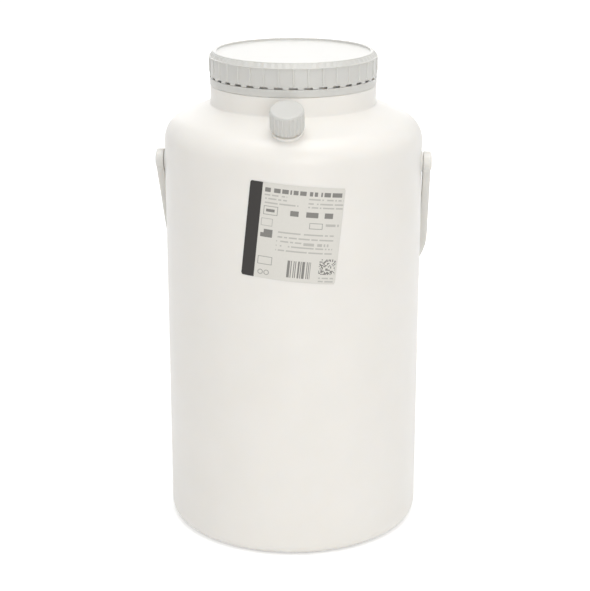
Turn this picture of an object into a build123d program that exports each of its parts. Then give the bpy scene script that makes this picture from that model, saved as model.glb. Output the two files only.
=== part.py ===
from build123d import *
import os
from math import asin, atan, cos, degrees, hypot, pi, radians, sin, tan

os.makedirs("parts", exist_ok=True)

# Wide mouth urine jar for a day's collection, about 2.5 litres, in milky polyethylene.
# Millimetres, Z up. The origin is where the jar's axis meets the surface that it stands on.
# The spout faces -Y, and the pins of the handle lie along X.

# Body of the jar, blow moulded
body_radius = 65.0
body_height = 220.2          # from the floor to the foot of the neck
body_wall = 1.2
heel_radius = 6.0            # bend from the wall into the base
foot_width = 7.0             # ring that the jar stands on
base_rise = 4.0              # how far the middle of the base is pushed up
base_slope = 35.0            # degrees, from the foot ring up to the middle
shoulder_slope = 23.0        # degrees below the horizontal
shoulder_radius = 13.0       # bend from the shoulder into the wall

# Neck
shoulder_width = 23.5        # from the wall of the body in to the collar
collar_height = 9.6          # smooth ring below the lid
collar_wall = 1.8
neck_step = 2.6              # from the collar in to the root of the thread
neck_height = 12.7           # from the collar to the mouth
neck_wall = 2.2
rim_bevel = 0.6

# Clearances
running_gap = 0.1            # a pin in its hole
free_gap = 0.3               # faces that pass each other
break_gap = 0.15             # where the tamper band parts from the lid

# Screw thread of the neck and the lid
thread_depth = 1.2

# Tamper band, which stays on the neck
band_height = 3.3
band_lip = 1.0               # height of the lip that catches under the neck's ring
catch_height = 1.3           # the neck's ring, above the lip

# Lid
lid_wall = 1.3
lid_plate = 1.5
lid_recess = 1.0             # depth of the sunk disc on top
liner_thick = 1.2
crown_height = 2.3           # from the bead to the top
crown_draw = 1.2             # how far the crown leans in
crown_rim = 1.8              # raised rim round the sunk disc
crown_rim_height = 0.5       # smooth part of the rim, above the teeth
crown_bevel = 0.3
bead_height = 0.7
rib_count = 36
rib_width = 0.9
rib_proud = 0.4
rib_start = -87.0            # degrees from X, where the lid has come to rest
slot_width = 4.2             # windows between the bridges of the tamper band
slot_height = 1.0
tooth_count = 72             # fine grip round the crown
tooth_depth = 0.4

# Spout, square to the slope of the shoulder
spout_step = 11.3            # from the collar out to the foot of the spout's axis
spout_length = 11.0
spout_bore = 4.6             # radius
spout_wall = 1.3
spout_thread_depth = 0.7
spout_foot_width = 1.6       # step round the foot of the spout
spout_foot_height = 1.2

# Spout cap
cap_lift = 1.6               # the cap ends this far above the step round the spout's foot
cap_wall = 1.0
cap_plate = 1.3
cap_liner_thick = 1.0
cap_rib_count = 24
cap_rib_width = 1.0
cap_rib_proud = 0.35
cap_bevel = 0.6

# Label
label_width = 45.2
label_height = 47.0
label_thick = 0.15
label_glue = 0.02
label_drop = 51.2            # from the foot of the neck down to its middle
label_turn = 2.9             # degrees from the spout towards +X
label_tilt = 6.0             # degrees clockwise, seen from outside
label_corner = 0.5

# Lugs on the jar that carry the handle
lug_drop = 30.2              # from the foot of the neck down to the pins
lug_boss_radius = 5.0
lug_boss_proud = 0.5
pin_radius = 3.0
pin_head_radius = 3.7
pin_head_length = 1.3

# Handle, a bail that lies against the back of the jar
strap_width = 10.0
strap_thick = 3.8
groove_width = 6.4           # both faces are hollowed, so the section is an I
groove_depth = 1.0
eye_radius = 5.4
eye_sink_depth = 0.9         # the foot of the pin head sits in this
bail_reach = 113.5           # from the pins to the inside of the grip
bail_flat = 15.6             # straight part of the grip, between its two bends

# Heights up the neck and the lid, from the shoulder to the top
collar_top = body_height + collar_height
mouth_height = collar_top + neck_height
band_bottom = collar_top + free_gap
band_top = band_bottom + band_height
catch_bottom = band_bottom + band_lip + free_gap
catch_top = catch_bottom + catch_height
lid_bottom = band_top + break_gap
plate_bottom = mouth_height + liner_thick
plate_top = plate_bottom + lid_plate
lid_top = plate_top + lid_recess
bead_top = lid_top - crown_height
bead_bottom = bead_top - bead_height
teeth_top = lid_top - crown_rim_height
slot_top = lid_bottom + slot_height

# Radii of the neck and the lid, from the mouth outward
collar_radius = body_radius - shoulder_width
neck_radius = collar_radius - neck_step
mouth_radius = neck_radius - neck_wall
catch_radius = neck_radius + thread_depth
lid_inside = catch_radius + free_gap
lid_radius = lid_inside + lid_wall
crown_radius = lid_radius - crown_draw
rim_radius = crown_radius - tooth_depth

# Shoulder and base of the jar
shoulder_tan = tan(radians(shoulder_slope))
shoulder_turn = 90 - shoulder_slope
bend_x = body_radius - shoulder_radius
bend_end = bend_x + shoulder_radius * sin(radians(shoulder_slope))
bend_z = body_height - (bend_end - collar_radius) * shoulder_tan
wall_top = bend_z - shoulder_radius * cos(radians(shoulder_slope))
heel_x = body_radius - heel_radius
foot_inside = heel_x - foot_width
rise_foot = foot_inside - base_rise / tan(radians(base_slope))
base_shift = body_wall * tan(radians(base_slope / 2))
heel_inside = heel_radius - body_wall
bend_inside = shoulder_radius - body_wall
bend_turn = radians(shoulder_turn)
collar_inside = collar_radius - collar_wall
shoulder_inside = body_height + collar_wall * shoulder_tan - body_wall / cos(radians(shoulder_slope))

# Spout and its cap stand on planes square to the spout's axis
spout_reach = collar_radius + spout_step
spout_axis = (0, -sin(radians(shoulder_slope)), cos(radians(shoulder_slope)))
spout_foot = (0, -spout_reach, body_height - (spout_reach - collar_radius) * shoulder_tan)
spout_plane = Plane(origin=spout_foot, x_dir=(1, 0, 0), z_dir=spout_axis)
spout_radius = spout_bore + spout_wall
cap_inside = spout_radius + spout_thread_depth + free_gap
cap_radius = cap_inside + cap_wall
cap_bottom = spout_foot_height + cap_lift
cap_height = spout_length + cap_liner_thick + cap_plate - cap_bottom

# The handle's eyes run on the pins, and it leans back until its grip meets the wall of the jar
lug_height = body_height - lug_drop
bail_inside = body_radius + lug_boss_proud + free_gap
bail_corner = bail_inside - bail_flat / 2
eye_web = strap_thick - eye_sink_depth
pin_length = bail_inside + eye_web + running_gap - (body_radius - body_wall)
bail_half_width = strap_width / 2
bail_lean = degrees(
    asin((body_radius + free_gap) / hypot(bail_reach, bail_half_width)) + atan(bail_half_width / bail_reach)
)
bail_plane = Plane(
    origin=(0, 0, lug_height), x_dir=(1, 0, 0), z_dir=(0, cos(radians(bail_lean)), sin(radians(bail_lean)))
)


# The jar: a revolved shell with its lugs and spout, hollowed last so that the walls stay open
with BuildPart() as jar:
    with BuildSketch(Plane.XZ):
        with BuildLine():
            base = Polyline((0, base_rise), (rise_foot, base_rise), (foot_inside, 0), (heel_x, 0))
            heel = CenterArc((heel_x, heel_radius), heel_radius, -90, 90)
            bend = CenterArc((bend_x, wall_top), shoulder_radius, 0, shoulder_turn)
            Line(heel @ 1, bend @ 0)
            neck = Polyline(
                bend @ 1,
                (collar_radius, body_height),
                (collar_radius, collar_top),
                (neck_radius, collar_top),
                (neck_radius, catch_bottom),
                (catch_radius, catch_bottom),
                (catch_radius, catch_top - thread_depth / 2),
                (neck_radius, catch_top),
                (neck_radius, mouth_height),
                (0, mouth_height),
            )
            Line(neck @ 1, base @ 0)
        make_face()
    revolve(axis=Axis.Z)

    lug_planes = [
        Plane(origin=(side * (body_radius - body_wall), 0, lug_height), z_dir=(side, 0, 0)) for side in (-1, 1)
    ]
    with BuildSketch(*lug_planes):
        Circle(lug_boss_radius)
    extrude(amount=body_wall + lug_boss_proud)
    with BuildSketch(*lug_planes):
        Circle(pin_radius)
    extrude(amount=pin_length)
    with BuildSketch(*[plane.offset(pin_length) for plane in lug_planes]):
        Circle(pin_head_radius)
    extrude(amount=pin_head_length)

    with BuildSketch(spout_plane.offset(-body_wall)):
        Circle(spout_radius + spout_foot_width)
    extrude(amount=body_wall + spout_foot_height)
    with BuildSketch(spout_plane.offset(-body_wall)):
        Circle(spout_radius)
    extrude(amount=body_wall + spout_length)

    with BuildSketch(Plane.XZ):
        with BuildLine():
            walls = Polyline(
                *[(heel_x + heel_inside * cos(a), heel_radius + heel_inside * sin(a)) for a in (-pi / 2, -pi / 4, 0)],
                *[(bend_x + bend_inside * cos(a), wall_top + bend_inside * sin(a)) for a in (0, bend_turn / 2, bend_turn)],
            )
            floor = Polyline(
                (0, base_rise + body_wall),
                (rise_foot + base_shift, base_rise + body_wall),
                (foot_inside + base_shift, body_wall),
                walls @ 0,
            )
            neck = Polyline(
                walls @ 1,
                (collar_inside, shoulder_inside),
                (collar_inside, collar_top - collar_wall),
                (mouth_radius, collar_top),
                (mouth_radius, mouth_height),
                (0, mouth_height),
            )
            Line(neck @ 1, floor @ 0)
        make_face()
    revolve(axis=Axis.Z, mode=Mode.SUBTRACT)
    chamfer(jar.edges().filter_by(GeomType.CIRCLE).group_by(Axis.Z)[-1], rim_bevel)

    with BuildSketch(spout_plane.offset(-2 * body_wall)):
        Circle(spout_bore)
    extrude(amount=2 * body_wall + spout_length, mode=Mode.SUBTRACT)


# Tamper band: a ring with an inner lip that catches below the ring on the neck
with BuildPart() as tamper_band:
    with BuildSketch(Plane.XZ):
        with BuildLine():
            Polyline(
                (neck_radius + free_gap, band_bottom),
                (lid_radius, band_bottom),
                (lid_radius, band_top),
                (lid_inside, band_top),
                (lid_inside, band_bottom + band_lip),
                (neck_radius + free_gap, band_bottom + band_lip),
                close=True,
            )
        make_face()
    revolve(axis=Axis.Z)


# Lid: ribbed skirt with windows along its edge, a bead, a toothed crown and a sunk top
with BuildPart() as lid:
    with BuildSketch(Plane.XY.offset(lid_bottom)):
        Circle(lid_radius)
    extrude(amount=bead_top - lid_bottom)
    with BuildSketch(Plane.XY.offset(bead_bottom)):
        Circle(lid_radius + rib_proud)
    extrude(amount=bead_height)

    tooth_step = pi / tooth_count
    for height, radius in ((bead_top, lid_radius), (teeth_top, crown_radius)):
        with BuildSketch(Plane.XY.offset(height)):
            with BuildLine():
                Polyline(
                    *[
                        Vector(radius - tooth_depth * (k % 2), 0).rotate(Axis.Z, degrees(k * tooth_step))
                        for k in range(2 * tooth_count)
                    ],
                    close=True,
                )
            make_face()
    loft(ruled=True)
    with BuildSketch(Plane.XY.offset(teeth_top)):
        Circle(rim_radius)
    extrude(amount=crown_rim_height)
    chamfer(lid.edges().filter_by(GeomType.CIRCLE).group_by(Axis.Z)[-1], crown_bevel)

    with BuildSketch(Plane.XY.offset(plate_top)):
        Circle(rim_radius - crown_rim)
    extrude(amount=lid_recess, mode=Mode.SUBTRACT)
    with BuildSketch(Plane.XY.offset(lid_bottom)):
        Circle(lid_inside)
    extrude(amount=plate_bottom - lid_bottom, mode=Mode.SUBTRACT)

    with BuildSketch(Plane.XY.offset(slot_top)):
        with PolarLocations(lid_radius, rib_count, start_angle=rib_start):
            Rectangle(2 * rib_proud, rib_width)
    extrude(amount=bead_bottom - slot_top)
    with BuildSketch(Plane.XY.offset(lid_bottom)):
        with PolarLocations(lid_radius, rib_count, start_angle=rib_start):
            Rectangle(4 * lid_wall, slot_width)
    extrude(amount=slot_height, mode=Mode.SUBTRACT)


# Foam wad inside the lid, which seals on the mouth
with BuildPart() as lid_liner:
    with BuildSketch(Plane.XY.offset(mouth_height)):
        Circle(lid_inside - free_gap)
    extrude(amount=liner_thick)


# Spout cap: a small ribbed cup
with BuildPart() as spout_cap:
    with BuildSketch(spout_plane.offset(cap_bottom)):
        Circle(cap_radius)
    extrude(amount=cap_height)
    chamfer(spout_cap.faces().sort_by(Axis(spout_foot, spout_axis))[-1].edges(), cap_bevel)
    with BuildSketch(spout_plane.offset(cap_bottom)):
        with PolarLocations(cap_radius, cap_rib_count):
            Rectangle(2 * cap_rib_proud, cap_rib_width)
    extrude(amount=cap_height - cap_bevel)
    with BuildSketch(spout_plane.offset(cap_bottom)):
        Circle(cap_inside)
    extrude(amount=cap_height - cap_plate, mode=Mode.SUBTRACT)


# Wad inside the spout cap
with BuildPart() as spout_cap_liner:
    with BuildSketch(spout_plane.offset(spout_length)):
        Circle(cap_inside - free_gap)
    extrude(amount=cap_liner_thick)


# Paper label, wrapped on the front of the jar
label_middle = body_height - label_drop
with BuildPart() as label:
    turn = radians(label_turn)
    label_plane = Plane(
        origin=(0, 0, label_middle), x_dir=(cos(turn), sin(turn), 0), z_dir=(sin(turn), -cos(turn), 0)
    )
    with BuildSketch(label_plane):
        RectangleRounded(label_width, label_height, label_corner, rotation=-label_tilt)
    extrude(amount=2 * body_radius)
    with BuildSketch(Plane.XY.offset(label_middle - label_height)):
        Circle(body_radius + label_glue + label_thick)
        Circle(body_radius + label_glue, mode=Mode.SUBTRACT)
    extrude(amount=2 * label_height, mode=Mode.INTERSECT)


# Handle: a bent strap of I section with an eye at each end
with BuildPart() as handle:
    with BuildSketch(bail_plane):
        with BuildLine():
            FilletPolyline(
                (-bail_inside - strap_thick / 2, 0),
                (-bail_inside - strap_thick / 2, bail_reach + strap_thick / 2),
                (bail_inside + strap_thick / 2, bail_reach + strap_thick / 2),
                (bail_inside + strap_thick / 2, 0),
                radius=bail_corner + strap_thick / 2,
            )
        trace(line_width=strap_thick)
    extrude(amount=strap_width / 2, both=True)
    for depth in (groove_depth / 2, strap_thick - groove_depth / 2):
        with BuildSketch(bail_plane):
            with BuildLine():
                FilletPolyline(
                    (-bail_inside - depth, eye_radius),
                    (-bail_inside - depth, bail_reach + depth),
                    (bail_inside + depth, bail_reach + depth),
                    (bail_inside + depth, eye_radius),
                    radius=bail_corner + depth,
                )
            trace(line_width=groove_depth)
        extrude(amount=groove_width / 2, both=True, mode=Mode.SUBTRACT)

    eye_planes = [Plane(origin=(side * bail_inside, 0, lug_height), z_dir=(side, 0, 0)) for side in (-1, 1)]
    with BuildSketch(*eye_planes):
        Circle(eye_radius)
    extrude(amount=strap_thick)
    with BuildSketch(*eye_planes):
        Circle(pin_radius + running_gap)
    extrude(amount=strap_thick, mode=Mode.SUBTRACT)
    with BuildSketch(*[plane.offset(eye_web) for plane in eye_planes]):
        Circle(pin_head_radius + free_gap)
    extrude(amount=eye_sink_depth, mode=Mode.SUBTRACT)


jar.part.label = "jar"
tamper_band.part.label = "tamper_band"
lid.part.label = "lid"
lid_liner.part.label = "lid_liner"
spout_cap.part.label = "spout_cap"
spout_cap_liner.part.label = "spout_cap_liner"
label.part.label = "label"
handle.part.label = "handle"

export_step(jar.part, "parts/jar.step")
export_step(tamper_band.part, "parts/tamper_band.step")
export_step(lid.part, "parts/lid.step")
export_step(lid_liner.part, "parts/lid_liner.step")
export_step(spout_cap.part, "parts/spout_cap.step")
export_step(spout_cap_liner.part, "parts/spout_cap_liner.step")
export_step(label.part, "parts/label.step")
export_step(handle.part, "parts/handle.step")
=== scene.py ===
from math import asin, atan, atan2, ceil, cos, hypot, pi, radians, sin, sqrt, tan

import bmesh
import bpy
from mathutils import Matrix, Vector


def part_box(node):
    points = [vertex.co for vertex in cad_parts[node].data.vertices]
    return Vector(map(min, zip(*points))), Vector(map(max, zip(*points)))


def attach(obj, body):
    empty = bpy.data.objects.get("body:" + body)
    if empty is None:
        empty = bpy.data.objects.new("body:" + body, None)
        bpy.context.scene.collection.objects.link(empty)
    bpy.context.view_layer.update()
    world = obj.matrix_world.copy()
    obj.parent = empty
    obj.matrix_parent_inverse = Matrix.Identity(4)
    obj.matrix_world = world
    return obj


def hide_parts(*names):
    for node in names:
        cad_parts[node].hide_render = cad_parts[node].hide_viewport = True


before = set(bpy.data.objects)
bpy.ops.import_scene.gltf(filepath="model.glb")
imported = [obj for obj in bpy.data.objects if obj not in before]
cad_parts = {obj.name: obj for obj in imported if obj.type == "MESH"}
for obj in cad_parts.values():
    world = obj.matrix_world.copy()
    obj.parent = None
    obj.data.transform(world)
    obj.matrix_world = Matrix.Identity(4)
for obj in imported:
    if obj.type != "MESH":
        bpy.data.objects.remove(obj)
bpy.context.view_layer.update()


# The jar: one blow moulded shell of milky polyethylene, about a millimetre thick. It stands on a
# foot ring, and its wide threaded neck, the small threaded spout and the two headed pins for the
# handle are all part of the same moulding. The halves of the mould met above the pins.
MM = 0.001
jar_low, jar_high = (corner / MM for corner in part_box("jar"))
body_radius = -jar_low.y
body_height = 220.2          # from the floor to the foot of the neck
body_wall = 1.2
heel_radius = 6.0
foot_width = 7.0
base_rise = 4.0
base_slope = radians(35)
shoulder_slope = radians(23)
shoulder_radius = 13.0

mouth_height = jar_high.z
collar_radius = 41.5
collar_height = 9.6
collar_wall = 1.8
neck_radius = 38.9
neck_wall = 2.2
free_gap = 0.3               # between faces that pass each other
catch_lift = 1.3             # from the foot of the tamper band to the neck's ring above its lip
catch_height = 1.3
thread_depth = 1.2
thread_lead = 6.0
thread_turns = 1.1
thread_lift = 1.9            # from the neck's ring to where the thread starts
thread_half = 0.95           # half the width of the thread's foot
thread_flank = 0.5

lug_height = body_height - 30.2
lug_boss_radius = 5.0
lug_boss_proud = 0.5
pin_radius = 3.0
pin_head_radius = 3.7
pin_head_length = 1.3
pin_tip = jar_high.x

spout_step = 11.3            # from the collar out to the foot of the spout's axis
spout_length = 11.0
spout_bore = 4.6
spout_radius = 5.9
spout_foot_radius = 7.5
spout_foot_height = 1.2
spout_thread_depth = 0.7
spout_thread_lead = 3.0
spout_thread_turns = 1.7
spout_thread_start = 4.4
spout_thread_half = 0.65
spout_thread_flank = 0.35
run_out = 0.05               # share of a turn over which a thread rises from the wall

mould_line = 0.12            # height of the ridge where the mould's halves met
mould_line_half = radians(0.3)

collar_top = body_height + collar_height
catch_bottom = collar_top + free_gap + catch_lift
catch_top = catch_bottom + catch_height
catch_radius = neck_radius + thread_depth
mouth_radius = neck_radius - neck_wall
collar_inside = collar_radius - collar_wall
shoulder_tan = tan(shoulder_slope)
foot_inside = body_radius - heel_radius - foot_width
rise_foot = foot_inside - base_rise / tan(base_slope)
base_shift = body_wall * tan(base_slope / 2)
inner_radius = body_radius - body_wall
shoulder_drop = body_wall / cos(shoulder_slope)
inside_bend_height = body_height - (inner_radius - collar_radius) * shoulder_tan - shoulder_drop


def rounded(corners, longest=4.0, ring=False, arc_step=radians(12)):
    """Outline through corners given as (radius, height, bend), where each bend is a true arc."""
    path = []
    for k, (r, z, bend) in enumerate(corners):
        here = Vector((r, z))
        if bend == 0 or (not ring and k in (0, len(corners) - 1)):
            path.append(here)
            continue
        back = (Vector(corners[k - 1][:2]) - here).normalized()
        onward = (Vector(corners[(k + 1) % len(corners)][:2]) - here).normalized()
        half = back.angle(onward) / 2
        middle = here + (back + onward).normalized() * (bend / sin(half))
        first = here + back * (bend / tan(half)) - middle
        last = here + onward * (bend / tan(half)) - middle
        start = atan2(first.y, first.x)
        sweep = (atan2(last.y, last.x) - start + pi) % (2 * pi) - pi
        steps = max(2, round(abs(sweep) / arc_step))
        for step in range(steps + 1):
            angle = start + sweep * step / steps
            path.append(middle + bend * Vector((cos(angle), sin(angle))))
    points = []
    for here, following in zip(path, path[1:] + (path[:1] if ring else [])):
        pieces = max(1, ceil((following - here).length / longest))
        points += [here.lerp(following, step / pieces) for step in range(pieces)]
    return points if ring else points + path[-1:]


def even(count):
    """Angles round the axis, evenly spaced."""
    return [2 * pi * k / count for k in range(count)]


def turned(name, stretches, angles, place=None):
    """Closed piece turned about its axis. A stretch is its points and how they vary round it."""
    shell = bmesh.new()
    rings = []
    for points, shape in stretches:
        for r, z in points:
            if r < 1e-6:
                rings.append([shell.verts.new((0, 0, z))])
                continue
            spots = [shape(r, z, a) if shape else (r, z) for a in angles]
            circle = [(out * cos(a), out * sin(a), up) for a, (out, up) in zip(angles, spots)]
            rings.append([shell.verts.new(point) for point in circle])
    pairs = list(zip(rings, rings[1:]))
    if len(rings[0]) > 1:
        pairs.append((rings[-1], rings[0]))
    for one, two in pairs:
        for k in range(len(angles)):
            n = (k + 1) % len(angles)
            around = (one[k % len(one)], one[n % len(one)], two[n % len(two)], two[k % len(two)])
            shell.faces.new(list(dict.fromkeys(around)))
    bmesh.ops.remove_doubles(shell, verts=shell.verts, dist=1e-4)
    bmesh.ops.dissolve_degenerate(shell, edges=shell.edges, dist=1e-5)
    return made(name, shell, place)


def made(name, shell, place=None):
    """Object from a mesh in millimetres, moved to its place, with its hard edges kept hard."""
    bmesh.ops.recalc_face_normals(shell, faces=shell.faces)
    shell.transform(Matrix.Scale(MM, 4) @ (place or Matrix()))
    mesh = bpy.data.meshes.new(name)
    shell.to_mesh(mesh)
    shell.free()
    piece = bpy.data.objects.new(name, mesh)
    bpy.context.scene.collection.objects.link(piece)
    return smoothed(piece)


def smoothed(piece):
    """Smooth shading with hard edges kept."""
    piece.data.shade_smooth()
    piece.data.set_sharp_from_angle(angle=radians(32))
    return piece


def worked(piece, tools, operation):
    """Join tools to a piece, or cut them out of it."""
    for tool in tools:
        step = piece.modifiers.new(operation.lower(), "BOOLEAN")
        step.operation = operation
        step.solver = "MANIFOLD"
        step.object = tool
    shape = bpy.data.meshes.new_from_object(piece.evaluated_get(bpy.context.evaluated_depsgraph_get()))
    piece.modifiers.clear()
    shape.name = piece.name
    piece.data = shape
    for tool in tools:
        bpy.data.objects.remove(tool)
    return smoothed(piece)


def thread(z, angle, start, lead, turns, half, flank):
    """Share of its full height that a right hand thread has at a point of its cylinder."""
    share = 0
    for turn in range(ceil(turns) + 1):
        along = angle / (2 * pi) + turn
        if 0 <= along <= turns:
            across = (half - abs(z - start - lead * along)) / flank
            ends = min(along, turns - along) / run_out
            share = max(share, min(1, across, ends))
    return share


def wall_with_mould_line(r, z, angle):
    off = abs((angle + pi / 2) % pi - pi / 2)
    return r + mould_line * max(0, 1 - off / mould_line_half), z


def neck_with_thread(r, z, angle):
    start = catch_top + thread_lift
    rise = thread(z, angle, start, thread_lead, thread_turns, thread_half, thread_flank)
    return (r + (thread_depth - 0.1) * rise, z) if r > neck_radius - 0.01 else (r, z)


def spout_with_thread(r, z, angle):
    rise = thread(z, angle, spout_thread_start, spout_thread_lead, spout_thread_turns,
                  spout_thread_half, spout_thread_flank)
    return (r + spout_thread_depth * rise, z) if r > spout_radius - 0.01 else (r, z)


wall = rounded([
    (rise_foot - 4, base_rise, 0),
    (rise_foot, base_rise, 2.5),
    (foot_inside, 0, 1.5),
    (body_radius, 0, heel_radius),
    (body_radius, body_height - (body_radius - collar_radius) * shoulder_tan, shoulder_radius),
    (collar_radius + 3, body_height - 3 * shoulder_tan, 0),
], longest=3.0, arc_step=radians(6))
collar = rounded([
    (collar_radius + 1.5, body_height - 1.5 * shoulder_tan, 0),
    (collar_radius, body_height, 1.0),
    (collar_radius, collar_top, 0.7),
    (neck_radius, collar_top, 0.3),
    (neck_radius, catch_bottom, 0.2),
    (catch_radius, catch_bottom, 0.2),
    (catch_radius, catch_top - thread_depth / 2, 0.3),
    (neck_radius, catch_top, 0.4),
    (neck_radius, catch_top + 0.8, 0),
])
neck = rounded([
    (neck_radius, catch_top + 1.0, 0),
    (neck_radius, mouth_height, 0.6),
    (mouth_radius, mouth_height, 0.6),
    (mouth_radius, mouth_height - 1.5, 0),
], longest=0.25)
inside = rounded([
    (mouth_radius, mouth_height - 2, 0),
    (mouth_radius, collar_top, 1.5),
    (collar_inside, collar_top - collar_wall, 1.2),
    (collar_inside, body_height + collar_wall * shoulder_tan - shoulder_drop, 1.5),
    (inner_radius, inside_bend_height, shoulder_radius - body_wall),
    (inner_radius, body_wall, heel_radius - body_wall),
    (foot_inside + base_shift, body_wall, 1.5),
    (rise_foot + base_shift, base_rise + body_wall, 2.5),
    (0, base_rise + body_wall, 0),
], longest=8.0)

mould_line_angles = [side + off * mould_line_half for side in (0, pi) for off in (-1, -0.5, 0.5, 1)]
jar_angles = sorted(even(240) + [a % (2 * pi) for a in mould_line_angles])
jar = turned("jar_shell", [
    ([(0, base_rise), (rise_foot / 2, base_rise)], None),
    (wall, wall_with_mould_line),
    (collar, None),
    (neck, neck_with_thread),
    (inside, None),
], jar_angles)

lug_start = body_radius - body_wall / 2
lug = rounded([
    (0, lug_start, 0),
    (lug_boss_radius, lug_start, 0),
    (lug_boss_radius, body_radius + lug_boss_proud, 0.3),
    (pin_radius, body_radius + lug_boss_proud, 0.3),
    (pin_radius, pin_tip - pin_head_length, 0),
    (pin_head_radius, pin_tip - pin_head_length, 0.15),
    (pin_head_radius, pin_tip, 0.5),
    (0, pin_tip, 0),
])
lugs = []
for side in (-1, 1):
    out = Matrix.Translation((0, 0, lug_height)) @ Matrix.Rotation(side * pi / 2, 4, "Y")
    lugs.append(turned("lug", [(lug, None)], even(72), out))

spout_reach = collar_radius + spout_step
spout_foot = Vector((0, -spout_reach, body_height - spout_step * shoulder_tan))
spout_place = Matrix.Translation(spout_foot) @ Matrix.Rotation(shoulder_slope, 4, "X")
spout = turned("spout", [
    (rounded([
        (0, -body_wall / 2, 0),
        (spout_foot_radius, -body_wall / 2, 0),
        (spout_foot_radius, spout_foot_height, 0.35),
        (spout_radius, spout_foot_height, 0.3),
        (spout_radius, spout_foot_height + 1, 0),
    ]), None),
    (rounded([
        (spout_radius, spout_foot_height + 1.2, 0),
        (spout_radius, spout_length, 0.4),
        (spout_bore - 1, spout_length, 0),
    ], longest=0.2), spout_with_thread),
    ([(0, spout_length)], None),
], even(96), spout_place)
bore = turned("bore", [([
    (0, -4),
    (spout_bore, -4),
    (spout_bore, spout_length + 1),
    (0, spout_length + 1),
], None)], even(96), spout_place)
jar = worked(worked(jar, lugs + [spout], "UNION"), [bore], "DIFFERENCE")


class Shade:
    """A socket of a material's nodes. Sums and products with it add Math nodes."""

    def __init__(self, tree, socket=None):
        self.tree = tree
        self.socket = socket

    def node(self, kind, settings=None, sockets=None, output=0):
        made_node = self.tree.nodes.new("ShaderNode" + kind)
        for name, value in (settings or {}).items():
            setattr(made_node, name, value)
        for name, value in (sockets or {}).items():
            if isinstance(value, Shade):
                self.tree.links.new(value.socket, made_node.inputs[name])
            else:
                made_node.inputs[name].default_value = value
        return Shade(self.tree, made_node.outputs[output]) if made_node.outputs else None

    def math(self, operation, *values):
        return self.node("Math", {"operation": operation}, dict(enumerate(values)))

    def __add__(self, other):
        return self.math("ADD", self, other)

    def __radd__(self, other):
        return self.math("ADD", other, self)

    def __sub__(self, other):
        return self.math("SUBTRACT", self, other)

    def __mul__(self, other):
        return self.math("MULTIPLY", self, other)

    def __rmul__(self, other):
        return self.math("MULTIPLY", other, self)

    def mixed(self, one, two):
        """Colour that goes from one to two as this value goes from 0 to 1."""
        return self.node("Mix", {"data_type": "RGBA"}, {0: self, 6: one, 7: two}, 2)

    def noise(self, size, detail=2.0):
        """Noise whose blotches are about size millimetres across."""
        place = self.node("TexCoord", output="Object")
        return self.node("TexNoise", None, {"Vector": place, "Scale": 1 / (size * MM), "Detail": detail})

    def bump(self, height):
        """Normal of a surface whose relief is height, in millimetres."""
        return self.node("Bump", None, {"Height": height, "Distance": MM, "Strength": 1.0})


def colour(red, green, blue):
    """Linear colour of a screen colour in steps of 255."""
    parts = [c / 255 for c in (red, green, blue)]
    return [c / 12.92 if c <= 0.04045 else ((c + 0.055) / 1.055) ** 2.4 for c in parts] + [1.0]


def material(name):
    """Empty material and the wrapper that fills it."""
    fresh = bpy.data.materials.new(name)
    fresh.use_nodes = True
    fresh.node_tree.nodes.clear()
    return fresh, Shade(fresh.node_tree)


def plastic(name, pale, deep, depth, roughness, wave=0.03):
    """Moulded polyethylene. Light goes depth millimetres into it, and its skin is a little wavy."""
    fresh, shade = material(name)
    cloud = shade.noise(22.0)
    grain = shade.noise(0.6)
    skin = shade.node("BsdfPrincipled", None, {
        "Base Color": cloud.mixed(pale, deep),
        "Roughness": roughness,
        "Normal": shade.bump(wave * shade.noise(9.0) + 0.0015 * grain),
        "IOR": 1.54,
        "Subsurface Weight": 1.0,
        "Subsurface Radius": (1.0, 0.94, 0.86),
        "Subsurface Scale": depth * MM,
    })
    shade.node("OutputMaterial", None, {"Surface": skin})
    return fresh


def dressed(piece, finish, body, slot, *nodes):
    """Give a piece its material and the body that it moves with, and hide the solids that it stands for."""
    piece.data.materials.clear()
    piece.data.materials.append(finish)
    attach(piece, body)
    if nodes:
        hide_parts(*nodes)
    return piece


milky = plastic("milky_polyethylene", colour(240, 237, 232), colour(235, 232, 226), 0.8, 0.34)
dressed(jar, milky, "jar", "jar", "jar")


# The tamper band: the lowest ring of the lid's moulding. It broke from the lid at its thin bridges
# when the jar was first opened, and a lip inside it catches below the ring on the neck.
band_low, band_high = (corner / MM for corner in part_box("tamper_band"))
lid_radius = band_high.x
lid_inside = catch_radius + free_gap
band_lip = 1.0
band_gap = 0.08              # to the collar; a wider one would show as a dark stripe
band_foot = collar_top + band_gap
band = turned("tamper_ring", [(rounded([
    (neck_radius + free_gap, band_foot, 0.15),
    (lid_radius, band_foot, 0.2),
    (lid_radius, band_high.z, 0.1),
    (lid_inside, band_high.z, 0.1),
    (lid_inside, band_low.z + band_lip, 0.15),
    (neck_radius + free_gap, band_low.z + band_lip, 0.2),
], longest=1.0, ring=True), None)], even(240))
lid_white = plastic("lid_polyethylene", colour(214, 213, 209), colour(209, 208, 203), 0.5, 0.3, 0.006)
dressed(band, lid_white, "jar", "lid", "tamper_band")


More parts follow.
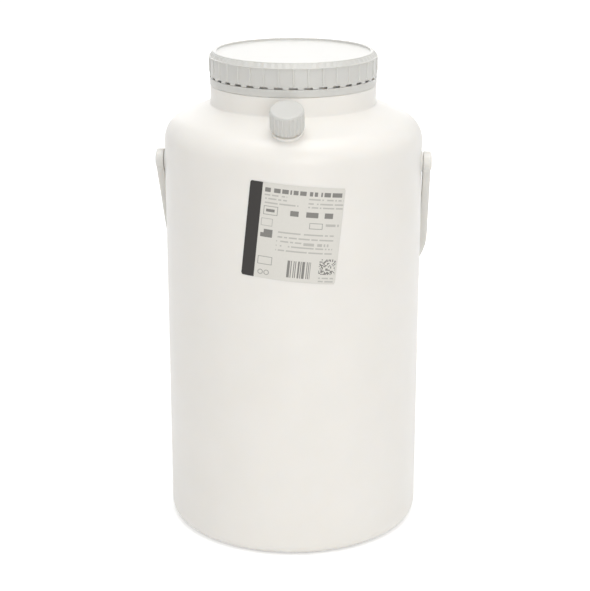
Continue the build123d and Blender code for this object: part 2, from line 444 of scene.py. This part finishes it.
# The lid: an injection moulded screw lid of white polyethylene. Its skirt has ribs above a row of
# windows, a bead runs round it below a finely toothed crown, and the top is sunk inside a rim.
lid_low, lid_high = (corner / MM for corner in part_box("lid"))
liner_low, liner_high = (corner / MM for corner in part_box("lid_liner"))
lid_recess = 1.0
crown_height = 2.3
crown_draw = 1.2
crown_rim = 1.8
crown_rim_height = 0.5
bead_height = 0.7
rib_count = 36
rib_half = 0.45
rib_side = 0.12              # half the width of a rib's sloping side
rib_proud = 0.4
rib_start = radians(-87)
window_half = 2.1
window_height = 1.0
lid_thread_turns = 0.85
tooth_count = 72
tooth_depth = 0.4

bead_top = lid_high.z - crown_height
bead_bottom = bead_top - bead_height
teeth_top = lid_high.z - crown_rim_height
crown_radius = lid_radius - crown_draw
rim_radius = crown_radius - tooth_depth
rib_pitch = 2 * pi / rib_count
tooth_pitch = 2 * pi / tooth_count


def from_rib(angle):
    """Angle from the middle of the nearest rib."""
    return (angle - rib_start + rib_pitch / 2) % rib_pitch - rib_pitch / 2


def skirt_with_ribs(r, z, angle):
    off = abs(from_rib(angle)) * lid_radius
    if off < window_half:
        z = max(z, lid_low.z + window_height)
    across = min(1, max(0, (rib_half + rib_side - off) / (2 * rib_side)))
    along = min(1, max(0, (z - lid_low.z - window_height - 0.2) / 0.5))
    return r + rib_proud * across * along, z


def edge_with_windows(r, z, angle):
    if abs(from_rib(angle)) * lid_radius < window_half:
        z = max(z, lid_low.z + window_height)
    return r, z


def crown_with_teeth(r, z, angle):
    wave = abs((angle - rib_start) / tooth_pitch % 1 - 0.5) * 2
    return r - tooth_depth * (1 - wave), z


def lid_with_thread(r, z, angle):
    start = catch_top + thread_lift + thread_lead / 2
    rise = thread(z, angle, start, thread_lead, lid_thread_turns, thread_half, thread_flank)
    return edge_with_windows(r - (thread_depth - 0.3) * rise, z, angle)


rib_edges = [side * (rib_half + step * rib_side) / lid_radius for side in (-1, 1) for step in (-1, 0, 1)]
window_edges = [side * (window_half + step * 0.03) / lid_radius for side in (-1, 1) for step in (-1, 1)]
tooth_edges = [step * tooth_pitch / 8 for step in range(-8, 8)]
cell = sorted(rib_edges + window_edges + tooth_edges)
lid_angles = sorted((rib_start + k * rib_pitch + a) % (2 * pi) for k in range(rib_count) for a in cell)
lid = turned("screw_lid", [
    (rounded([
        (0, lid_high.z - lid_recess, 0),
        (rim_radius - crown_rim, lid_high.z - lid_recess, 0.5),
        (rim_radius - crown_rim, lid_high.z, 0.35),
        (rim_radius, lid_high.z, 0.4),
        (rim_radius, teeth_top, 0),
    ], longest=10), None),
    (rounded([
        (crown_radius, teeth_top - 0.1, 0),
        (lid_radius, bead_top + 0.1, 0),
    ], longest=0.6), crown_with_teeth),
    (rounded([
        (lid_radius, bead_top, 0),
        (lid_radius + rib_proud, bead_top, 0.3),
        (lid_radius + rib_proud, bead_bottom, 0.3),
        (lid_radius, bead_bottom, 0),
    ], longest=1), None),
    (rounded([
        (lid_radius, bead_bottom - 0.15, 0),
        (lid_radius, lid_low.z, 0.1),
        (lid_radius - 0.6, lid_low.z, 0),
    ], longest=1.2), skirt_with_ribs),
    (rounded([
        (lid_radius - 0.8, lid_low.z, 0),
        (lid_inside, lid_low.z, 0.1),
        (lid_inside, lid_low.z + window_height + 0.4, 0),
    ], longest=1), edge_with_windows),
    (rounded([
        (lid_inside, lid_low.z + window_height + 0.6, 0),
        (lid_inside, liner_high.z, 0.3),
        (lid_inside - 1, liner_high.z, 0),
    ], longest=0.35), lid_with_thread),
    ([(lid_inside / 2, liner_high.z), (0, liner_high.z)], None),
], lid_angles)
dressed(lid, lid_white, "lid", "lid", "lid")


# The wad inside the lid: a disc punched from white foamed polyethylene. It is pressed into the lid
# and seals on the mouth of the jar.
bubble_size = 0.7
foam, shade = material("foam_wad")
place = shade.node("TexCoord", output="Object")
bubbles = shade.node("TexVoronoi", None, {"Vector": place, "Scale": 1 / (bubble_size * MM)})
shade.node("OutputMaterial", None, {"Surface": shade.node("BsdfPrincipled", None, {
    "Base Color": bubbles.mixed(colour(236, 234, 228), colour(224, 221, 214)),
    "Roughness": 0.62 + 0.15 * bubbles,
    "Normal": shade.bump(0.12 * bubbles),
    "Subsurface Weight": 0.5,
    "Subsurface Radius": (1.0, 0.95, 0.9),
    "Subsurface Scale": 1.5 * MM,
})})
lid_wad = turned("lid_wad", [(rounded([
    (0, liner_low.z, 0),
    (liner_high.x, liner_low.z, 0.25),
    (liner_high.x, liner_high.z, 0.25),
    (0, liner_high.z, 0),
], longest=6), None)], even(180))
dressed(lid_wad, foam, "lid_seal", "liner", "lid_liner")


# The cap of the spout: a small injection moulded screw cap with a ribbed wall and a rounded edge.
# It stands square to the slope of the shoulder.
cap_lift = 1.6               # from the step round the spout's foot to the cap
cap_wall = 1.0
cap_plate = 1.3
cap_liner_thick = 1.0
cap_rib_count = 24
cap_rib_half = 0.5
cap_rib_proud = 0.35
cap_rib_side = 0.15          # half the width of a rib's sloping side
cap_thread_turns = 1.2
cap_edge = 0.9
cap_inside = spout_radius + spout_thread_depth + free_gap
cap_radius = cap_inside + cap_wall
cap_bottom = spout_foot_height + cap_lift
cap_top = spout_length + cap_liner_thick + cap_plate
cap_pitch = 2 * pi / cap_rib_count


def cap_with_ribs(r, z, angle):
    off = abs((angle + cap_pitch / 2) % cap_pitch - cap_pitch / 2) * cap_radius
    across = min(1, max(0, (cap_rib_half + cap_rib_side - off) / (2 * cap_rib_side)))
    along = min(1, max(0, (cap_top - cap_edge - z) / 0.5))
    return r + cap_rib_proud * across * along, z


def cap_with_thread(r, z, angle):
    start = spout_thread_start + spout_thread_lead / 2
    rise = thread(z, angle, start, spout_thread_lead, cap_thread_turns, spout_thread_half, spout_thread_flank)
    return r - (spout_thread_depth - 0.1) * rise, z


cap_cell = [k * cap_pitch / 2 / 3 for k in (-2, -1.5, -1, 1, 1.5, 2, 3)]
cap_cell += [side * (cap_rib_half + step * cap_rib_side) / cap_radius
             for side in (-1, 1) for step in (-1, 0, 1)]
cap_angles = sorted((k * cap_pitch + a) % (2 * pi) for k in range(cap_rib_count) for a in cap_cell)
cap = turned("spout_screw_cap", [
    (rounded([
        (0, cap_top, 0),
        (cap_radius, cap_top, cap_edge),
        (cap_radius, cap_top - cap_edge - 0.1, 0),
    ]), None),
    (rounded([
        (cap_radius, cap_top - cap_edge - 0.3, 0),
        (cap_radius, cap_bottom, 0.2),
        (cap_radius - 0.5, cap_bottom, 0),
    ], longest=0.8), cap_with_ribs),
    (rounded([
        (cap_inside + 0.4, cap_bottom, 0),
        (cap_inside, cap_bottom, 0.2),
        (cap_inside, cap_bottom + 0.5, 0),
    ]), None),
    (rounded([
        (cap_inside, cap_bottom + 0.7, 0),
        (cap_inside, cap_top - cap_plate, 0.2),
        (cap_inside - 0.6, cap_top - cap_plate, 0),
    ], longest=0.25), cap_with_thread),
    ([(0, cap_top - cap_plate)], None),
], cap_angles, spout_place)
dressed(cap, lid_white, "spout_cap", "lid", "spout_cap")

cap_wad_radius = cap_inside - free_gap
cap_wad = turned("spout_cap_wad", [(rounded([
    (0, spout_length, 0),
    (cap_wad_radius, spout_length, 0.2),
    (cap_wad_radius, spout_length + cap_liner_thick, 0.2),
    (0, spout_length + cap_liner_thick, 0),
]), None)], even(90), spout_place)
dressed(cap_wad, foam, "spout_seal", "liner", "spout_cap_liner")


# The label: one piece of white paper, glued to the front of the body a little askew. It has a dark
# band down its left side, and fields, rules and stripes in dark grey beside it.
label_width = 45.2
label_height = 47.0
label_thick = 0.15
label_glue = 0.02
label_middle = body_height - 51.2
label_turn = radians(2.9)
label_tilt = radians(6)
label_corner = 0.5
label_columns = 60
label_rows = 48


def label_point(across, up, lift):
    """Point of the label, from its own middle, wrapped on the body."""
    p = across * cos(label_tilt) + up * sin(label_tilt)
    q = up * cos(label_tilt) - across * sin(label_tilt)
    out = sqrt((body_radius + label_glue + lift) ** 2 - p * p)
    x = p * cos(label_turn) + out * sin(label_turn)
    y = p * sin(label_turn) - out * cos(label_turn)
    return x, y, label_middle + q


paper = bmesh.new()
layers = []
for lift in (0, label_thick):
    rows = []
    for j in range(label_rows + 1):
        share = j / label_rows
        up = (0.5 - share) * label_height
        from_end = min(label_corner, label_height / 2 - abs(up))
        narrow = label_corner - sqrt(label_corner ** 2 - (label_corner - from_end) ** 2)
        half = label_width / 2 - narrow
        rows.append([paper.verts.new(label_point((2 * i / label_columns - 1) * half, up, lift))
                     for i in range(label_columns + 1)])
    layers.append(rows)
for rows in layers:
    for j in range(label_rows):
        for i in range(label_columns):
            paper.faces.new((rows[j][i], rows[j][i + 1], rows[j + 1][i + 1], rows[j + 1][i]))
inner, outer = layers
edge = [(0, i) for i in range(label_columns)] + [(j, label_columns) for j in range(label_rows)]
edge += [(label_rows, label_columns - i) for i in range(label_columns)]
edge += [(label_rows - j, 0) for j in range(label_rows)]
for (j, i), (jn, ni) in zip(edge, edge[1:] + edge[:1]):
    paper.faces.new((inner[j][i], inner[jn][ni], outer[jn][ni], outer[j][i]))
label = made("paper_label", paper)
spots = label.data.uv_layers.new(name="print")
for loop in label.data.loops:
    x, y, z = label.data.vertices[loop.vertex_index].co / MM
    p = x * cos(label_turn) + y * sin(label_turn)
    q = z - label_middle
    across = p * cos(label_tilt) - q * sin(label_tilt)
    up = q * cos(label_tilt) + p * sin(label_tilt)
    spots.data[loop.index].uv = (across + label_width / 2, label_height / 2 - up)

printed, shade = material("printed_paper")
place = shade.node("UVMap", {"uv_map": "print"})
u = shade.node("SeparateXYZ", None, {0: place}, 0)
v = shade.node("SeparateXYZ", None, {0: place}, 1)


def patch(left, right, top, bottom):
    """Rectangle of ink, in millimetres from the label's upper left corner."""
    across = shade.math("COMPARE", u, (left + right) / 2, (right - left) / 2)
    return across * shade.math("COMPARE", v, (top + bottom) / 2, (bottom - top) / 2)


def box(left, right, top, bottom, line=0.35):
    """Outline of a rectangle."""
    return patch(left, right, top, bottom) - patch(left + line, right - line, top + line, bottom - line)


def row(left, right, middle, height=0.7):
    """Line of small print, broken into short dashes."""
    cells = shade.math("FLOOR", u * 1.3)
    gaps = shade.node("TexWhiteNoise", {"noise_dimensions": "1D"}, {"W": cells + 7.3 * middle})
    dashes = shade.math("GREATER_THAN", gaps, 0.22)
    return patch(left, right, middle - height / 2, middle + height / 2) * dashes


def cells(left, right, top, bottom, size_u, size_v, share):
    """Field of small dark cells, scattered evenly."""
    column = shade.math("FLOOR", u * (1 / size_u))
    line = shade.math("FLOOR", v * (1 / size_v)) if size_v else 0.0
    spot = shade.node("CombineXYZ", None, {0: column, 1: line})
    scatter = shade.node("TexWhiteNoise", {"noise_dimensions": "2D"}, {"Vector": spot})
    return patch(left, right, top, bottom) * shade.math("LESS_THAN", scatter, share)


def ring(middle_u, middle_v, radius, line=0.4):
    """Plain ring."""
    du = u - middle_u
    dv = v - middle_v
    away = shade.math("SQRT", du * du + dv * dv)
    return shade.math("COMPARE", away, radius, line / 2)


dark = patch(0, 6, 0, 47)
strong = row(7.3, 43.9, 3.35, 2.1) + patch(8.7, 12.8, 12.6, 14) + patch(20.2, 24.2, 12.2, 14.8)
strong = strong + patch(27.8, 33.6, 12.2, 14.8) + patch(36.6, 40.6, 12.2, 14.8)
strong = strong + patch(7.1, 12.8, 24.4, 26.5) + patch(8.6, 12.8, 22.6, 24.4)
strong = strong + cells(20.8, 32.6, 36.6, 45, 0.42, 0, 0.5) + cells(36.6, 44.4, 34.7, 42.4, 0.56, 0.56, 0.5)
lines = box(7.5, 14.3, 11.1, 15.5) + box(29.8, 36.2, 17.3, 20.3) + box(7.1, 14, 36, 40.1)
lines = lines + ring(8.9, 43.9, 1.1) + ring(11.8, 43.9, 1.1)
faint = box(6.9, 12.4, 17.2, 21) + row(37.6, 44.5, 18.1, 1.2) + row(28, 40, 28, 1.4)
small_rows = [(7.3, 18, 5.8), (7.3, 18, 7.6), (7.3, 23.7, 9.6)]
small_rows += [(28.3, 44.8, 5.9), (28.3, 44.8, 8.0), (28.3, 44.8, 9.8)]
small_rows += [(15, 42, 23.2), (15, 42, 25.5), (15, 27, 27.6), (15, 42, 29.8), (15, 42, 32)]
small_rows += [(36.8, 44, 44.2), (36.8, 44, 45.8)]
for left, right, middle in small_rows:
    faint = faint + row(left, right, middle)
ink = shade.math("MINIMUM", dark + 0.72 * strong + 0.5 * lines + 0.32 * faint, 1.0)
fibre = shade.noise(0.8, 4.0)
sheet_colour = fibre.mixed(colour(220, 217, 210), colour(214, 211, 203))
shade.node("OutputMaterial", None, {"Surface": shade.node("BsdfPrincipled", None, {
    "Base Color": ink.mixed(sheet_colour, colour(36, 32, 29)),
    "Roughness": 0.55 + 0.1 * fibre - 0.12 * ink,
    "Normal": shade.bump(0.015 * fibre),
})})
dressed(label, printed, "jar", "label", "label")


# The handle: a bail moulded as a bent strap of I section, with an eye at each end. The eyes were
# sprung over the pins of the jar, and the bail hangs against the back.
strap_width = 10.0
strap_thick = 3.8
groove_width = 6.4
groove_depth = 1.0
eye_radius = 5.4
eye_sink_depth = 0.9
running_gap = 0.1
bail_reach = 113.5
bail_flat = 15.6
bail_inside = body_radius + lug_boss_proud + free_gap
bail_corner = atan(strap_width / 2 / bail_reach)
bail_lean = asin((body_radius + free_gap) / hypot(bail_reach, strap_width / 2)) + bail_corner
bail_middle = bail_inside + strap_thick / 2
bend_radius = bail_middle - bail_flat / 2
leg_length = bail_reach + strap_thick / 2 - bend_radius
down = Vector((0, sin(bail_lean), -cos(bail_lean)))
across = Vector((0, cos(bail_lean), sin(bail_lean)))
right = Vector((1, 0, 0))
pivot = Vector((0, 0, lug_height))


def strap_section(depth):
    """Rounded I section as (across, outward) points, with grooves of this depth."""
    half_w, half_t, half_g = strap_width / 2, strap_thick / 2, groove_width / 2
    corners = [(half_w, -half_t, 0.5), (half_w, half_t, 0.5)]
    corners += [(half_g + 0.25, half_t, 0.25), (half_g, half_t - depth, 0.2)]
    corners += [(-half_g, half_t - depth, 0.2), (-half_g - 0.25, half_t, 0.25)]
    corners += [(-half_w, half_t, 0.5), (-half_w, -half_t, 0.5)]
    corners += [(-half_g - 0.25, -half_t, 0.25), (-half_g, depth - half_t, 0.2)]
    corners += [(half_g, depth - half_t, 0.2), (half_g + 0.25, -half_t, 0.25)]
    return rounded(corners, longest=20, ring=True, arc_step=radians(200))


bend_middle = pivot + right * (bend_radius - bail_middle) + down * leg_length
stations = []
for k in range(25):
    along = leg_length * k / 24
    stations.append((pivot + right * -bail_middle + down * along, -right, along))
for k in range(1, 41):
    turn = pi / 2 * k / 40
    out = -right * cos(turn) + down * sin(turn)
    stations.append((bend_middle + out * bend_radius, out, leg_length))
mirrored = Matrix.Diagonal((-1, 1, 1))
stations += [(mirrored @ middle, mirrored @ out, along) for middle, out, along in reversed(stations)]
strap = bmesh.new()
sections = []
for middle, out, along in stations:
    depth = max(0.05, groove_depth * min(1, max(0, (along - eye_radius) / 1.5)))
    sections.append([strap.verts.new(middle + across * a + out * b) for a, b in strap_section(depth)])
for one, two in zip(sections, sections[1:]):
    for k in range(len(one)):
        n = (k + 1) % len(one)
        strap.faces.new((one[k], one[n], two[n], two[k]))
for end in (sections[0], sections[-1]):
    strap.faces.new(end)
handle = made("bail_handle", strap)
eyes = []
holes = []
for side in (-1, 1):
    out = Matrix.Translation((0, 0, lug_height)) @ Matrix.Rotation(side * pi / 2, 4, "Y")
    near, far = bail_inside, bail_inside + strap_thick
    eyes.append(turned("eye", [(rounded([
        (0, near, 0), (eye_radius, near, 0.5), (eye_radius, far, 0.5), (0, far, 0),
    ]), None)], even(72), out))
    holes.append(turned("hole", [(rounded([
        (0, near - 1, 0),
        (pin_radius + running_gap, near - 1, 0),
        (pin_radius + running_gap, far - eye_sink_depth, 0),
        (pin_head_radius + free_gap, far - eye_sink_depth, 0),
        (pin_head_radius + free_gap, far + 1, 0),
        (0, far + 1, 0),
    ]), None)], even(72), out))
handle = worked(worked(handle, eyes, "UNION"), holes, "DIFFERENCE")
handle_white = plastic("handle_polyethylene", colour(228, 227, 223), colour(222, 220, 215), 1.0, 0.34, 0.02)
dressed(handle, handle_white, "handle", "handle", "handle")


# The studio: a white floor and backdrop, a broad soft light above, one in front and a weak one
# behind, and the camera a little above the lid and a little to the right of the spout.
floor_mesh = bpy.data.meshes.new("floor")
floor_half = 3.0
floor_mesh.from_pydata([(x * floor_half, y * floor_half, 0) for x, y in ((-1, -1), (1, -1), (1, 1), (-1, 1))],
                       [], [(0, 1, 2, 3)])
ground = bpy.data.objects.new("floor", floor_mesh)
bpy.context.scene.collection.objects.link(ground)
floor_white, shade = material("floor_white")
seen = shade.node("LightPath", output="Is Camera Ray")
shown = shade.math("MAXIMUM", seen, shade.node("LightPath", output="Is Glossy Ray"))
matt = shade.node("BsdfDiffuse", None, {"Color": colour(240, 240, 240)})
place = shade.node("TexCoord", output="Object")
away = shade.node("VectorMath", {"operation": "LENGTH"}, {0: place}, 1)
glow_near = 0.33
glow_far = 0.55
glow_reach = 0.4             # metres from the jar to where the floor glows in full
spread = shade.math("MINIMUM", away * (1 / glow_reach), 1.0)
glow = shade.node("Emission", None, {
    "Color": (1, 1, 1, 1), "Strength": (glow_near + (glow_far - glow_near) * spread) * shown,
})
shade.node("OutputMaterial", None, {"Surface": shade.node("AddShader", None, {0: matt, 1: glow})})
floor_mesh.materials.append(floor_white)

world = bpy.data.worlds.new("studio")
bpy.context.scene.world = world
world.use_nodes = True
world.node_tree.nodes.clear()
shade = Shade(world.node_tree)
seen = shade.math("MAXIMUM", shade.node("LightPath", output="Is Camera Ray"),
                  shade.node("LightPath", output="Is Glossy Ray"))
seen = shade.math("MAXIMUM", seen, shade.node("LightPath", output="Is Transmission Ray"))
ambient = 0.59
shade.node("OutputWorld", None, {"Surface": shade.node("Background", None, {
    "Color": (1, 1, 1, 1), "Strength": ambient + (1 - ambient) * seen,
})})


def soft_light(name, place, size, power):
    """Square lamp that faces the middle of the jar."""
    lamp = bpy.data.lights.new(name, "AREA")
    lamp.size = size
    lamp.energy = power
    holder = bpy.data.objects.new(name, lamp)
    holder.location = place
    aim = Vector((0, 0, 0.12)) - Vector(place)
    holder.rotation_euler = aim.to_track_quat("-Z", "Y").to_euler()
    bpy.context.scene.collection.objects.link(holder)


soft_light("overhead", (0.1, -0.3, 1.6), 1.2, 11.0)
soft_light("front", (0.4, -1.6, 0.4), 0.8, 5.8)
soft_light("back", (-0.2, 1.8, 0.7), 1.2, 3.5)

camera_distance = 0.8
camera_height = 0.373
camera_azimuth = radians(3.0)
camera_pitch = radians(17.69)
image_height = 591
focal_pixels = 1610
middle_shift = 1.7           # the optical axis is this many pixels left of the image's middle
lens = bpy.data.cameras.new("camera")
lens.sensor_fit = "VERTICAL"
lens.sensor_height = 36
lens.lens = lens.sensor_height * focal_pixels / image_height
lens.shift_x = middle_shift / image_height
eye = bpy.data.objects.new("camera", lens)
eye.location = (camera_distance * sin(camera_azimuth), -camera_distance * cos(camera_azimuth), camera_height)
eye.rotation_euler = (pi / 2 - camera_pitch, 0, camera_azimuth)
bpy.context.scene.collection.objects.link(eye)
bpy.context.scene.camera = eye
bpy.context.scene.view_settings.view_transform = "Standard"
